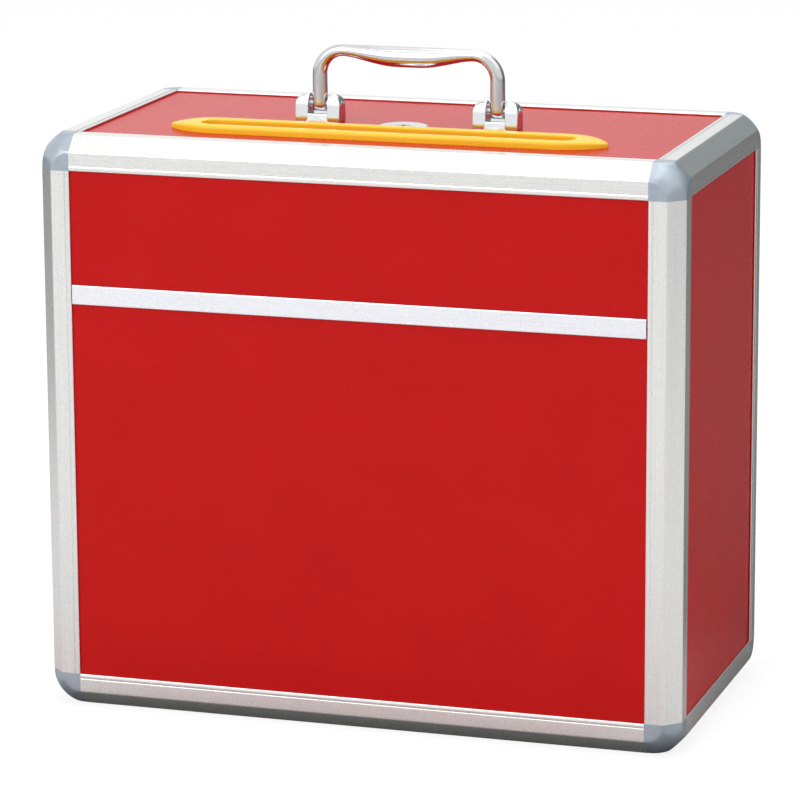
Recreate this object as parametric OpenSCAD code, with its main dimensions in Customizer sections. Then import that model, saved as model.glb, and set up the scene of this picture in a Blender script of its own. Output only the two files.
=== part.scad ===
// Carry-handled ballot box: aluminium edge rails and moulded corner caps hold flat boards.
// Origin at the middle of the footprint, on the ground. +Z is up and the front faces -Y.

/* [Case] */
// Overall width, side to side
case_w = 400; // [340:1:520]
// Overall depth, front to back
case_d = 208; // [170:1:300]
// Height from the ground to the top rails
case_h = 356; // [280:1:480]
// Thickness of the laminated boards
board_t = 4; // [3:0.1:5]
// How far the handle, slot and top lock sit to the right of the middle
fittings_shift = 2; // [0:0.5:10]

/* [Edge rails] */
// Width that a rail shows on each face
rail_w = 21; // [19:0.5:26]
// Leg of the 45 degree bevel along each outer edge
rail_bevel = 9.5; // [7:0.5:10]
// Thickness of the lip that laps over a board
lip_t = 1.5; // [1.2:0.1:2]
// Thickness of the rail's inner walls
rail_wall = 1.3; // [1:0.1:1.4]
// Depth of the groove that grips a board
groove_depth = 10; // [7:0.5:10]
// Gap between a board and each side of its groove
board_play = 0.1; // [0.05:0.01:0.3]
// Gap between a board's edge and the bottom of its groove
board_end_gap = 0.4; // [0.2:0.1:1]
// Depth of the accent line scored along each face of a rail
score_depth = 0.35; // [0.1:0.05:0.6]

/* [Corner caps] */
// Length of the spigot that enters each rail
spigot_length = 20; // [10:1:30]
// Gap between a spigot and the wall of its rail
spigot_play = 0.15; // [0.05:0.05:0.3]
// Size of the clipped corner of a board, under its cap
board_clip = 6.5; // [6:0.5:8]

/* [Front strip] */
// Height of the joining strip on the front
strip_h = 12; // [10:0.5:18]
// Distance from the top of the case down to the middle of the strip
strip_drop = 96.5; // [70:0.5:130]
// Thickness of the web between the two front boards
strip_web = 2; // [1.5:0.1:3]
// Gap between the strip's ends and the posts
strip_end_gap = 0.5; // [0.2:0.1:1]

/* [Ballot slot] */
// Length of the yellow slot trim
trim_l = 276; // [200:1:290]
// Width of the yellow slot trim
trim_w = 33; // [28:0.5:40]
// Height of the trim's rim over the board
trim_h = 4.6; // [3:0.1:6]
// Length of each curved end of the trim
trim_nose = 32; // [25:1:40]
// Height of the trim at its two tips, which slope down
trim_tip_h = 2.2; // [1.5:0.1:3]
// Length of the slope at each tip
trim_tip_slope = 15; // [5:1:18]
// Length of the ballot slot
slot_l = 226; // [150:1:230]
// Width of the ballot slot
slot_w = 8; // [5:0.5:10]
// Width of the sunk trough round the slot
trough_w = 17; // [15:0.5:19]
// Thickness of the trough's floor
trough_floor = 1; // [0.8:0.1:1.5]
// Distance from the front of the case back to the middle of the slot
slot_setback = 60.5; // [45:0.5:64]

/* [Handle] */
// Distance between the handle's two pivots
handle_span = 113; // [90:1:130]
// Height of the handle's top over the board
handle_h = 48.1; // [40:0.1:62]
// Height of the pivots over the board
pivot_h = 11; // [8:0.5:12]
// Width of a leg where its pin passes through
leg_w = 9.5; // [8:0.5:11]
// Thickness of the bar at the bends
bar_t = 7.2; // [5.5:0.1:8]
// Thickness of the grip at its middle
grip_t = 12.6; // [10:0.1:15]
// Width of the grip at its middle, front to back
grip_w = 14; // [11:0.5:15]
// Length of the even part at the middle of the grip
grip_l = 12; // [8:1:40]
// Centre line radius of the two bends
bend_r = 15; // [10:0.5:16]
// Width of a pivot bracket
bracket_w = 29; // [27:0.5:38]
// Depth of a pivot bracket, front to back
bracket_d = 14; // [12:0.5:18]
// Gap beside the leg, on each side
leg_gap = 1.2; // [0.6:0.1:2]
// Diameter of the pivot pins
pin_d = 4; // [3:0.1:5]
// Radial clearance of the handle on its pins
pin_play = 0.06; // [0.02:0.01:0.1]
// Diameter of the four handle screws
screw_d = 4; // [3:0.1:5]

/* [Locks] */
// Diameter of a lock's round face
lock_face_d = 31; // [26:0.5:32]
// Diameter of a lock's threaded barrel
barrel_d = 19; // [17:0.5:20]
// Diameter of the turning plug
plug_d = 12; // [10:0.5:13]
// Reach of the cam from the lock's axis to its tip
cam_reach = 38; // [36:0.5:44]
// Width of the cam
cam_w = 13; // [11:0.5:16]
// Thickness of the cam
cam_t = 2; // [1.5:0.1:2.5]
// Offset of the cam's arm towards the board
cam_crank = 1.6; // [1:0.1:2]
// Thickness of the nut behind the board
nut_t = 3; // [2.5:0.1:4]

/* [Rear door] */
// Distance from the side of the case to the door opening
door_side_border = 48.5; // [45:0.5:70]
// Distance from the top or bottom of the case to the door opening
door_end_border = 58.5; // [45:0.5:80]
// Gap round the closed door
door_gap = 1.5; // [1:0.1:2]
// Thickness of the channel that edges the door and its opening
channel_t = 1.2; // [0.8:0.1:1.3]
// Width of the channel's flanges
channel_w = 10; // [9.5:0.5:12]
// Distance from the door's free edge to the lock's axis
lock_inset = 30; // [28:0.5:32]
// Outer diameter of the hinge knuckles
knuckle_d = 4; // [3.6:0.1:5]
// Diameter of the hinge wire
hinge_pin_d = 1.6; // [1.4:0.1:2]
// Width of each hinge leaf from the wire's axis
leaf_w = 9; // [8:0.5:9.5]
// Thickness of the hinge leaves
leaf_t = 0.8; // [0.6:0.1:1]
// Number of knuckles, an odd number
knuckles = 11; // [7:2:15]
// Number of rivets in each leaf
rivets = 6; // [4:1:8]

/* [Hidden] */
$fn = 64;

silver = "#D9DCDD";
cap_grey = "#A9B5BF";
board_red = "#C01C1C";
trim_yellow = "#FFC82A";
chrome = "#E8ECEE";
steel = "#B9BEC2";

// Spare length that carries a cut through the surface it opens
over = 1;

// The edge rail's section, as distances from the case's outer faces
groove_floor = rail_w - groove_depth;
groove_t = board_t + 2 * board_play;
inner_lip = lip_t + groove_t + rail_wall;
hollow_edge = groove_floor - rail_wall;
inner_lip_setback = 1.5;
score_w = 0.5;
score_at = rail_w - 2 * lip_t;

// The boards
board_inset = groove_floor + board_end_gap;
face_depth = lip_t + board_play;
back_depth = face_depth + board_t;
top_face = case_h - face_depth;

// The corner cap: a ball round the rails' inner corner, through the bevels' outer edges
cap_ball_r = sqrt(pow(rail_w, 2) + pow(rail_w - rail_bevel, 2)) + 0.02;
pocket_clip = board_clip - 0.5;

// The ballot slot and the lock behind it
slot_y = slot_setback - case_d / 2;
trough_l = slot_l + trough_w - slot_w;
throat_wall = 2;
throat_drop = 1.3;
trim_play = 0.3;
trim_tip_r = 3;
trim_slope = 1.6;
trim_edge = trim_h - 1.4;
barbs_a_side = 4;
lock_gap = 0.5;
slot_lock_y = slot_y + trim_w / 2 + lock_gap + lock_face_d / 2;

// The lock, measured from the board's outer face
face_t = 1.6;
barrel_play = 0.2;
plug_play = 0.05;
plug_lip = 0.7;
plug_step = 0.8;
barrel_end = board_t + nut_t + 0.7;
cam_play = 0.1;
drive_w = 6;
cam_screw_d = 3.2;

// The handle, its brackets and their fixings
grip_offset = grip_t - bar_t / 2;
grip_lead = 0.85;
pivot_z = top_face + pivot_h;
bar_z = top_face + handle_h - bar_t / 2;
eye_r = 4.5;
shoulder_r = 7;
pin_fit = 0.02;
screw_reach = 6;
screw_x = (bracket_w + leg_w + 2 * leg_gap) / 4;
plate_t = 2;
head_t = 2.4;

// The door, its edging and its hinge
opening_w = case_w - 2 * door_side_border;
opening_h = case_h - 2 * door_end_border;
door_w = opening_w - 2 * door_gap;
door_h = opening_h - 2 * door_gap;
edging_play = 0.05;
hinge_x = -(door_w + door_gap) / 2;
flange_face = case_d / 2 - face_depth + edging_play + channel_t;
hinge_y = flange_face + knuckle_d / 2;
hinge_l = door_h - 2 * channel_w;
knuckle_l = hinge_l / knuckles;
knuckle_gap = 0.25;
wire_play = 0.05;
rivet_d = 3;
rivet_head_d = 5;
rivet_head_t = 1;
rivet_x = 5.7;
door_lock_x = door_w / 2 - lock_inset;
door_lock_z = case_h / 2;

// Placing

// Puts a child built at the front, left, bottom corner at the corner with these signs
module at_corner(x, y, z) {
    translate([0, 0, case_h / 2])
    mirror([x > 0 ? 1 : 0, 0, 0])
    mirror([0, y > 0 ? 1 : 0, 0])
    mirror([0, 0, z > 0 ? 1 : 0])
    translate([-case_w / 2, -case_d / 2, -case_h / 2])
    children();
}

// Turns a child so that its own +Z points to the back of the case and its +Y points up
module facing_back() {
    rotate([90, 0, 180]) children();
}

// The edge rails

function swapped(points) = [for (i = [len(points) - 1 : -1 : 0]) [points[i].y, points[i].x]];

// One half of the section, up to the diagonal on which it is symmetrical
rail_half = [
    [rail_bevel, 0],
    [score_at - score_w / 2, 0], [score_at, score_depth], [score_at + score_w / 2, 0],
    [rail_w - lip_t / 2, 0], [rail_w - lip_t / 2, lip_t],
    [groove_floor, lip_t], [groove_floor, lip_t + groove_t],
    [rail_w - inner_lip_setback, lip_t + groove_t], [rail_w - inner_lip_setback, inner_lip],
    [groove_floor, inner_lip]
];

// The three-cornered hollow behind the bevel, drawn in by an inset
function hollow(inset) =
    let (far = hollow_edge - inset, sum = rail_bevel + (rail_wall + inset) * sqrt(2))
    [[far, sum - far], [far, far], [sum - far, far]];

module rail_section() {
    difference() {
        union() {
            polygon(concat(rail_half, [[groove_floor, groove_floor]], swapped(rail_half)));
            translate([rail_w - lip_t / 2, lip_t / 2]) circle(d = lip_t);
            translate([lip_t / 2, rail_w - lip_t / 2]) circle(d = lip_t);
        }
        polygon(hollow(0));
    }
}

module rail_along_x(y, z) {
    color(silver)
    at_corner(-1, y, z)
    translate([rail_w, 0, 0])
    rotate([90, 0, 90])
    linear_extrude(case_w - 2 * rail_w) rail_section();
}

module rail_along_y(x, z) {
    color(silver)
    at_corner(x, -1, z)
    translate([0, case_d - rail_w, 0])
    rotate([90, 0, 0])
    linear_extrude(case_d - 2 * rail_w) rail_section();
}

module post(x, y) {
    color(silver)
    at_corner(x, y, -1)
    translate([0, 0, rail_w])
    linear_extrude(case_h - 2 * rail_w) rail_section();
}

// The corner caps

// Repeats a child whose own axis is Z along each of the three edges of the corner
module along_three_edges() {
    children();
    rotate([90, 0, 90]) children();
    rotate([-90, -90, 0]) children();
}

module bevelled_prism() {
    linear_extrude(rail_w)
    polygon([[rail_bevel, 0], [rail_w, 0], [rail_w, rail_w], [0, rail_w], [0, rail_bevel]]);
}

module cap_dome() {
    intersection() {
        bevelled_prism();
        rotate([90, 0, 90]) bevelled_prism();
        rotate([-90, -90, 0]) bevelled_prism();
        translate([rail_w, rail_w, rail_w]) sphere(r = cap_ball_r);
    }
}

// The open inside of the cap, which leaves the corner's three walls and its ribs
module cap_inside() {
    difference() {
        translate([inner_lip, inner_lip, inner_lip]) cube(rail_w);
        along_three_edges() cube([groove_floor, groove_floor, 2 * rail_w]);
    }
}

module board_pocket() {
    near = groove_floor;
    far = rail_w + over;
    translate([0, 0, lip_t])
    linear_extrude(groove_t)
    polygon([[near + pocket_clip, near], [far, near], [far, far], [near, far],
             [near, near + pocket_clip]]);
}

module spigot() {
    rib_root = 4;
    translate([0, 0, rail_w - rib_root])
    linear_extrude(spigot_length + rib_root) polygon(hollow(spigot_play));
}

module corner_cap(x, y, z) {
    color(cap_grey)
    at_corner(x, y, z) {
        difference() {
            cap_dome();
            cap_inside();
            along_three_edges() board_pocket();
        }
        along_three_edges() spigot();
    }
}

// The boards

// A flat board, measured between the case's outer faces, with the given corners clipped
module board(width, height, low_clip = board_clip, high_clip = board_clip) {
    x = width / 2 - board_inset;
    y = height / 2 - board_inset;
    linear_extrude(board_t)
    polygon([[-x + low_clip, -y], [x - low_clip, -y], [x, -y + low_clip], [x, y - high_clip],
             [x - high_clip, y], [-x + high_clip, y], [-x, y - high_clip], [-x, -y + low_clip]]);
}

module stadium(length, width) {
    square([length - width, width], center = true);
    for (side = [-1, 1]) translate([side * (length - width) / 2, 0]) circle(d = width);
}

module board_top() {
    color(board_red)
    translate([0, 0, top_face - board_t])
    difference() {
        board(case_w, case_d);
        translate([fittings_shift, slot_y, -over])
        linear_extrude(board_t + 2 * over)
        stadium(slot_l + 2 * (throat_wall + trim_play), slot_w + 2 * (throat_wall + trim_play));
        translate([fittings_shift, slot_lock_y, -over])
        cylinder(d = barrel_d + 2 * barrel_play, h = board_t + 2 * over);
        handle_screw_places() translate([0, 0, -over])
        cylinder(d = screw_d + 2 * barrel_play, h = board_t + 2 * over);
    }
}

module board_bottom() {
    color(board_red) translate([0, 0, face_depth]) board(case_w, case_d);
}

module board_side(x) {
    color(board_red)
    at_corner(x, -1, -1)
    translate([face_depth, case_d / 2, case_h / 2])
    rotate([90, 0, 90]) board(case_d, case_h);
}

// A front board cut to the part between two heights
module front_board_between(low, high) {
    color(board_red)
    intersection() {
        translate([0, face_depth - case_d / 2, case_h / 2])
        rotate([90, 0, 0]) translate([0, 0, -board_t]) board(case_w, case_h);
        translate([-case_w / 2, -case_d / 2, low]) cube([case_w, 2 * back_depth, high - low]);
    }
}

strip_z = case_h - strip_drop;
strip_play = board_play + strip_web / 2;

module board_front_upper() {
    front_board_between(strip_z + strip_play, case_h);
}

module board_front_lower() {
    front_board_between(0, strip_z - strip_play);
}

module board_back() {
    cut_w = opening_w + 2 * (channel_t + edging_play);
    cut_h = opening_h + 2 * (channel_t + edging_play);
    color(board_red)
    difference() {
        translate([0, case_d / 2 - back_depth, case_h / 2])
        facing_back() board(case_w, case_h);
        translate([-cut_w / 2, 0, (case_h - cut_h) / 2]) cube([cut_w, case_d, cut_h]);
        hinge_rivet_places(-1) rivet_hole();
    }
}

// The strip that joins the two front boards, an H section with rounded edges

module flange_section(thickness) {
    square([strip_h - thickness, thickness], center = true);
    for (side = [-1, 1]) {
        translate([side * (strip_h - thickness) / 2, 0]) circle(d = thickness);
    }
}

module front_strip() {
    length = case_w - 2 * rail_w - 2 * strip_end_gap;
    color(silver)
    translate([-length / 2, -case_d / 2, strip_z])
    rotate([90, 0, 90])
    linear_extrude(length) {
        translate([lip_t / 2, 0]) rotate(90) flange_section(lip_t);
        translate([lip_t / 2, -strip_web / 2]) square([groove_t + lip_t, strip_web]);
        translate([inner_lip - rail_wall / 2, 0]) rotate(90) flange_section(rail_wall);
    }
}

// The yellow slot trim

// A long lens with straight flanks and blunted tips
module trim_outline(inset) {
    half = trim_w / 2;
    arc_r = (pow(trim_nose, 2) + pow(half, 2)) / (2 * half);
    offset(r = trim_tip_r - inset) offset(delta = -trim_tip_r) {
        square([trim_l - 2 * trim_nose, trim_w], center = true);
        for (side = [-1, 1]) {
            translate([side * (trim_l / 2 - trim_nose), 0])
            intersection() {
                translate([0, half - arc_r]) circle(r = arc_r);
                translate([0, arc_r - half]) circle(r = arc_r);
                translate([side * trim_nose / 2, 0]) square([trim_nose, trim_w], center = true);
            }
        }
    }
}

// The part of the outline that lies between the sloping tips
module between_tips() {
    intersection() {
        children();
        square([trim_l - 2 * trim_tip_slope, trim_w], center = true);
    }
}

module slot_trim() {
    throat_l = slot_l + 2 * throat_wall;
    throat_w = slot_w + 2 * throat_wall;
    barb_pitch = (slot_l - slot_w) / barbs_a_side;
    barb = [8, 1.3, throat_drop - 0.2];
    color(trim_yellow)
    translate([fittings_shift, slot_y, top_face])
    difference() {
        union() {
            hull() {
                linear_extrude(trim_tip_h) trim_outline(0);
                linear_extrude(trim_edge) between_tips() trim_outline(0);
                linear_extrude(trim_h) between_tips() trim_outline(trim_slope);
            }
            translate([0, 0, -board_t - throat_drop])
            linear_extrude(board_t + throat_drop + trough_floor) stadium(throat_l, throat_w);
            for (i = [0 : barbs_a_side - 1], side = [-1, 1]) {
                translate([(i - (barbs_a_side - 1) / 2) * barb_pitch,
                           side * (throat_w / 2 + barb.y / 2 - over / 2),
                           -board_t - throat_drop + barb.z / 2])
                cube([barb.x, barb.y + over, barb.z], center = true);
            }
        }
        translate([0, 0, trough_floor]) linear_extrude(trim_h) stadium(trough_l, trough_w);
        translate([0, 0, -board_t - throat_drop - over])
        linear_extrude(board_t + trim_h + 2 * over) stadium(slot_l, slot_w);
    }
}

// The handle: one closed surface carried along a U, thin at the bends and full at the grip

function ease(t) = (1 - cos(180 * t)) / 2;
function mix(a, b, t) = a + (b - a) * t;

leg_x = handle_span / 2;
bend_z = bar_z - bend_r;
bend_x = leg_x - bend_r;
eye_steps = 5;
leg_steps = 4;
bend_steps = 8;
grip_steps = 12;
ring_sides = 20;

// A station is [x, z, angle of the outward normal, outer reach, inner reach, half depth]
eye_stations = [for (i = [0 : eye_steps])
    let (a = -75 + 75 * i / eye_steps)
    [-leg_x, pivot_z + eye_r * sin(a), 180, leg_w / 2, leg_w / 2, eye_r * cos(a)]];
leg_stations = [for (i = [1 : leg_steps])
    let (t = i / leg_steps, half = mix(leg_w, bar_t, ease(t)) / 2)
    [-leg_x, mix(pivot_z, bend_z, t), 180, half, half, mix(eye_r, bar_t / 2 + 0.6, t)]];
bend_stations = [for (i = [1 : bend_steps])
    let (a = 180 - 90 * i / bend_steps)
    [-bend_x + bend_r * cos(a), bend_z + bend_r * sin(a), a, bar_t / 2, bar_t / 2,
     bar_t / 2 + 0.6]];
grip_stations = [for (i = [1 : grip_steps])
    let (t = i / grip_steps, full = ease(pow(t, grip_lead)))
    [mix(-bend_x, -grip_l / 2, t), bar_z, 90, bar_t / 2, mix(bar_t / 2, grip_offset, full),
     mix(bar_t / 2 + 0.6, grip_w / 2, full)]];
half_stations = concat(eye_stations, leg_stations, bend_stations, grip_stations);
handle_stations = concat(half_stations,
    [for (i = [len(half_stations) - 1 : -1 : 0])
        let (s = half_stations[i]) [-s[0], s[1], 180 - s[2], s[3], s[4], s[5]]]);

function ring(s) = [for (i = [0 : ring_sides - 1])
    let (a = 360 * i / ring_sides, n = (s[3] - s[4]) / 2 + (s[3] + s[4]) / 2 * cos(a))
    [s[0] + n * cos(s[2]), s[5] * sin(a), s[1] + n * sin(s[2])]];

module swept(stations) {
    last = len(stations) - 1;
    points = [for (s = stations) each ring(s)];
    sides = [for (i = [0 : last - 1], j = [0 : ring_sides - 1])
        let (a = i * ring_sides, k = (j + 1) % ring_sides)
        each [[a + j, a + ring_sides + j, a + k],
              [a + k, a + ring_sides + j, a + ring_sides + k]]];
    start = [for (j = [0 : ring_sides - 1]) j];
    end = [for (j = [ring_sides - 1 : -1 : 0]) last * ring_sides + j];
    polyhedron(points, concat(sides, [start, end]));
}

module pin_places() {
    for (side = [-1, 1]) translate([fittings_shift + side * leg_x, 0, pivot_z]) children();
}

module handle() {
    color(chrome)
    difference() {
        translate([fittings_shift, 0, 0]) swept(handle_stations);
        pin_places() rotate([0, 90, 0])
        cylinder(d = pin_d + 2 * pin_play, h = leg_w + 2 * over, center = true);
    }
}

// The handle's brackets, pins, inner plates and screws

module bracket_front_profile() {
    height = pivot_h + bracket_d / 2;
    translate([-bracket_w / 2, 0]) square([bracket_w, height - shoulder_r]);
    translate([shoulder_r - bracket_w / 2, 0]) square([bracket_w - 2 * shoulder_r, height]);
    for (side = [-1, 1]) {
        translate([side * (bracket_w / 2 - shoulder_r), height - shoulder_r])
        circle(r = shoulder_r);
    }
}

module bracket_side_profile() {
    translate([-bracket_d / 2, 0]) square([bracket_d, pivot_h]);
    translate([0, pivot_h]) circle(d = bracket_d);
}

module handle_bracket(side) {
    gap = leg_w + 2 * leg_gap;
    floor_t = pivot_h - eye_r - 1;
    color(chrome)
    translate([fittings_shift + side * leg_x, 0, top_face])
    difference() {
        intersection() {
            rotate([90, 0, 0]) linear_extrude(bracket_d, center = true) bracket_front_profile();
            rotate([90, 0, 90]) linear_extrude(bracket_w, center = true) bracket_side_profile();
        }
        translate([-gap / 2, -bracket_d, floor_t]) cube([gap, 2 * bracket_d, pivot_h + bracket_d]);
        translate([0, 0, pivot_h]) rotate([0, 90, 0])
        cylinder(d = pin_d + 2 * pin_fit, h = 2 * bracket_w, center = true);
        for (x = [-screw_x, screw_x]) {
            translate([x, 0, -over]) cylinder(d = screw_d + 2 * pin_fit, h = screw_reach + over);
        }
    }
}

module handle_pin(side) {
    color(steel)
    translate([fittings_shift + side * leg_x, 0, pivot_z])
    rotate([0, 90, 0]) cylinder(d = pin_d, h = bracket_w - 1, center = true);
}

// The four places of the handle's screws, at the underside of the top board
module handle_screw_places() {
    for (side = [-1, 1], x = [-screw_x, screw_x]) {
        translate([fittings_shift + side * leg_x + x, 0, 0]) children();
    }
}

module handle_plate(side) {
    color(steel)
    translate([fittings_shift + side * leg_x, 0, top_face - board_t - plate_t])
    difference() {
        linear_extrude(plate_t) stadium(bracket_w + 2, bracket_d + 1);
        for (x = [-screw_x, screw_x]) {
            translate([x, 0, -over]) cylinder(d = screw_d + 2 * barrel_play, h = plate_t + 2 * over);
        }
    }
}

module handle_screws() {
    color(steel)
    handle_screw_places() translate([0, 0, top_face - board_t - plate_t])
    union() {
        translate([0, 0, -head_t]) cylinder(d1 = 1.4 * screw_d, d2 = 2 * screw_d, h = head_t);
        cylinder(d = screw_d, h = plate_t + board_t + screw_reach - 0.5);
    }
}

// The cam locks, with the lock's own +Z out of the board and 0 at the board's face

module lock_body() {
    bevel = 0.6;
    color(chrome)
    difference() {
        union() {
            cylinder(d = lock_face_d, h = face_t - bevel);
            translate([0, 0, face_t - bevel])
            cylinder(d1 = lock_face_d, d2 = lock_face_d - 2 * bevel, h = bevel);
            translate([0, 0, -barrel_end]) cylinder(d = barrel_d, h = barrel_end + bevel);
        }
        translate([0, 0, -barrel_end - over])
        cylinder(d = plug_d + 2 * plug_play, h = barrel_end + over + face_t - plug_lip);
        cylinder(d = plug_d - 2 * (plug_step - plug_play), h = face_t + over);
    }
}

module lock_nut() {
    color(steel)
    translate([0, 0, -board_t - nut_t])
    difference() {
        cylinder(d = barrel_d * 1.42, h = nut_t, $fn = 6);
        translate([0, 0, -over]) cylinder(d = barrel_d + 2 * plug_play, h = nut_t + 2 * over);
    }
}

module lock_plug() {
    keyway = [1.6, 6.4, 5];
    body_top = face_t - plug_lip - plug_play;
    color(steel)
    difference() {
        union() {
            translate([0, 0, -barrel_end]) cylinder(d = plug_d, h = barrel_end + body_top);
            cylinder(d = plug_d - 2 * plug_step, h = face_t - 0.1);
            translate([0, 0, -barrel_end - cam_t - cam_play])
            linear_extrude(cam_t + 2 * cam_play + over) square(drive_w, center = true);
        }
        translate([0, 0, face_t - keyway.z / 2 + over])
        cube([keyway.x, keyway.y, keyway.z + 2 * over], center = true);
        translate([0, 0, -barrel_end - cam_t - 2 * over])
        cylinder(d = cam_screw_d + 2 * pin_fit, h = cam_t + 2 * over + 1.5);
    }
}

// The cam's arm points along +X
module lock_cam() {
    hub = cam_reach * 0.45;
    step = cam_t + cam_crank;
    color(steel)
    translate([0, 0, -barrel_end - cam_t - cam_play / 2])
    difference() {
        union() {
            linear_extrude(cam_t) {
                circle(d = cam_w);
                translate([0, -cam_w / 2]) square([hub, cam_w]);
            }
            translate([hub - 3, -cam_w / 2, 0]) cube([3, cam_w, step]);
            translate([0, 0, cam_crank])
            linear_extrude(cam_t) {
                translate([hub - 1, -cam_w / 2]) square([cam_reach - hub - 2, cam_w]);
                translate([cam_reach - 3 - over, 3 - cam_w / 2]) square([3 + over, cam_w - 6]);
                for (y = [-1, 1]) translate([cam_reach - 3, y * (cam_w / 2 - 3)]) circle(r = 3);
            }
        }
        translate([0, 0, -over])
        linear_extrude(cam_t + 2 * over) square(drive_w + 2 * cam_play, center = true);
    }
}

module lock_screw() {
    color(steel)
    translate([0, 0, -barrel_end - cam_t - cam_play])
    union() {
        translate([0, 0, -head_t]) cylinder(d1 = 7, d2 = 9.5, h = head_t);
        cylinder(d = cam_screw_d, h = cam_t + 1);
    }
}

module at_slot_lock() {
    translate([fittings_shift, slot_lock_y, top_face]) children();
}

// The door lock's cam rests pointing up
module at_door_lock() {
    translate([door_lock_x, case_d / 2 - face_depth, door_lock_z])
    facing_back() rotate([0, 0, 90]) children();
}

// The rear door

module block(width, height, near, far) {
    translate([-width / 2, near, (case_h - height) / 2]) cube([width, far - near, height]);
}

channel_out = flange_face;
channel_in = case_d / 2 - back_depth - edging_play - channel_t;

// A channel ring, open outwards, that edges the opening in the back board
module door_surround() {
    grip_w_outer = opening_w + 2 * channel_w;
    grip_h_outer = opening_h + 2 * channel_w;
    color(silver)
    difference() {
        block(grip_w_outer, grip_h_outer, channel_in, channel_out);
        block(opening_w, opening_h, channel_in - over, channel_out + over);
        difference() {
            block(grip_w_outer + 2 * over, grip_h_outer + 2 * over,
                  channel_in + channel_t, channel_out - channel_t);
            block(opening_w + 2 * channel_t, opening_h + 2 * channel_t, 0, case_d);
        }
        hinge_rivet_places(-1) rivet_hole();
    }
}

// A channel ring, open inwards, that edges the door
module door_edging() {
    color(silver)
    difference() {
        block(door_w, door_h, channel_in, channel_out);
        block(door_w - 2 * channel_w, door_h - 2 * channel_w, channel_in - over, channel_out + over);
        block(door_w - 2 * channel_t, door_h - 2 * channel_t,
              channel_in + channel_t, channel_out - channel_t);
        hinge_rivet_places(1) rivet_hole();
    }
}

module door_board() {
    color(board_red)
    difference() {
        block(door_w - 2 * (channel_t + edging_play), door_h - 2 * (channel_t + edging_play),
              case_d / 2 - back_depth, case_d / 2 - face_depth);
        at_door_lock() translate([0, 0, -board_t - over])
        cylinder(d = barrel_d + 2 * barrel_play, h = board_t + 2 * over);
        hinge_rivet_places(1) rivet_hole();
    }
}

// The piano hinge

// The rivets of one leaf: side -1 is the leaf on the surround, side 1 the leaf on the door
module hinge_rivet_places(side) {
    pitch = hinge_l / rivets;
    for (i = [0 : rivets - 1]) {
        translate([hinge_x + side * rivet_x, flange_face,
                   case_h / 2 + (i - (rivets - 1) / 2) * pitch])
        rotate([-90, 0, 0]) children();
    }
}

module rivet_hole() {
    depth = channel_out - channel_in;
    translate([0, 0, -depth - over]) cylinder(d = rivet_d + 2 * edging_play, h = depth + 2 * over);
}

module rivet() {
    depth = channel_out - channel_in;
    intersection() {
        translate([0, 0, leaf_t]) cylinder(d = rivet_head_d, h = rivet_head_t);
        translate([0, 0, leaf_t + rivet_head_t - rivet_head_d * 0.8])
        sphere(r = rivet_head_d * 0.8);
    }
    translate([0, 0, -depth]) cylinder(d = rivet_d, h = depth + leaf_t);
    translate([0, 0, -depth - rivet_head_t]) cylinder(d = rivet_head_d, h = rivet_head_t);
}

// One leaf with every second knuckle, from the one numbered first
module hinge_leaf(side, first) {
    low = (case_h - hinge_l) / 2;
    color(silver)
    difference() {
        union() {
            translate([side > 0 ? hinge_x : hinge_x - leaf_w, flange_face, low])
            cube([leaf_w, leaf_t, hinge_l]);
            for (i = [first : 2 : knuckles - 1]) {
                translate([hinge_x, hinge_y, low + i * knuckle_l + knuckle_gap / 2])
                cylinder(d = knuckle_d, h = knuckle_l - knuckle_gap);
            }
        }
        for (i = [1 - first : 2 : knuckles - 1]) {
            translate([hinge_x, hinge_y, low + i * knuckle_l - knuckle_gap / 2])
            cylinder(d = knuckle_d + 0.6, h = knuckle_l + knuckle_gap);
        }
        translate([hinge_x, hinge_y, low - over])
        cylinder(d = hinge_pin_d + 2 * wire_play, h = hinge_l + 2 * over);
        hinge_rivet_places(side) rivet_hole();
    }
}

module hinge_wire() {
    color(steel)
    translate([hinge_x, hinge_y, (case_h - hinge_l) / 2]) cylinder(d = hinge_pin_d, h = hinge_l);
}

module hinge_rivets(side) {
    color(steel) hinge_rivet_places(side) rivet();
}

rail_along_x(-1, 1);  // rail_top_front
rail_along_x(1, 1);  // rail_top_back
rail_along_y(-1, 1);  // rail_top_left
rail_along_y(1, 1);  // rail_top_right
rail_along_x(-1, -1);  // rail_bottom_front
rail_along_x(1, -1);  // rail_bottom_back
rail_along_y(-1, -1);  // rail_bottom_left
rail_along_y(1, -1);  // rail_bottom_right
post(-1, -1);  // post_front_left
post(1, -1);  // post_front_right
post(-1, 1);  // post_back_left
post(1, 1);  // post_back_right
corner_cap(-1, -1, 1);  // cap_top_front_left
corner_cap(1, -1, 1);  // cap_top_front_right
corner_cap(-1, 1, 1);  // cap_top_back_left
corner_cap(1, 1, 1);  // cap_top_back_right
corner_cap(-1, -1, -1);  // cap_bottom_front_left
corner_cap(1, -1, -1);  // cap_bottom_front_right
corner_cap(-1, 1, -1);  // cap_bottom_back_left
corner_cap(1, 1, -1);  // cap_bottom_back_right
board_top();
board_bottom();
board_side(-1);  // board_left
board_side(1);  // board_right
board_front_upper();
board_front_lower();
board_back();
front_strip();
slot_trim();
handle();
handle_bracket(-1);  // handle_bracket_left
handle_bracket(1);  // handle_bracket_right
handle_pin(-1);  // handle_pin_left
handle_pin(1);  // handle_pin_right
handle_plate(-1);  // handle_plate_left
handle_plate(1);  // handle_plate_right
handle_screws();
at_slot_lock() lock_body();  // slot_lock_body
at_slot_lock() lock_nut();  // slot_lock_nut
at_slot_lock() lock_plug();  // slot_lock_plug
at_slot_lock() lock_cam();  // slot_lock_cam
at_slot_lock() lock_screw();  // slot_lock_screw
door_surround();
door_board();
door_edging();
hinge_leaf(-1, 0);  // hinge_leaf_frame
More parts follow.
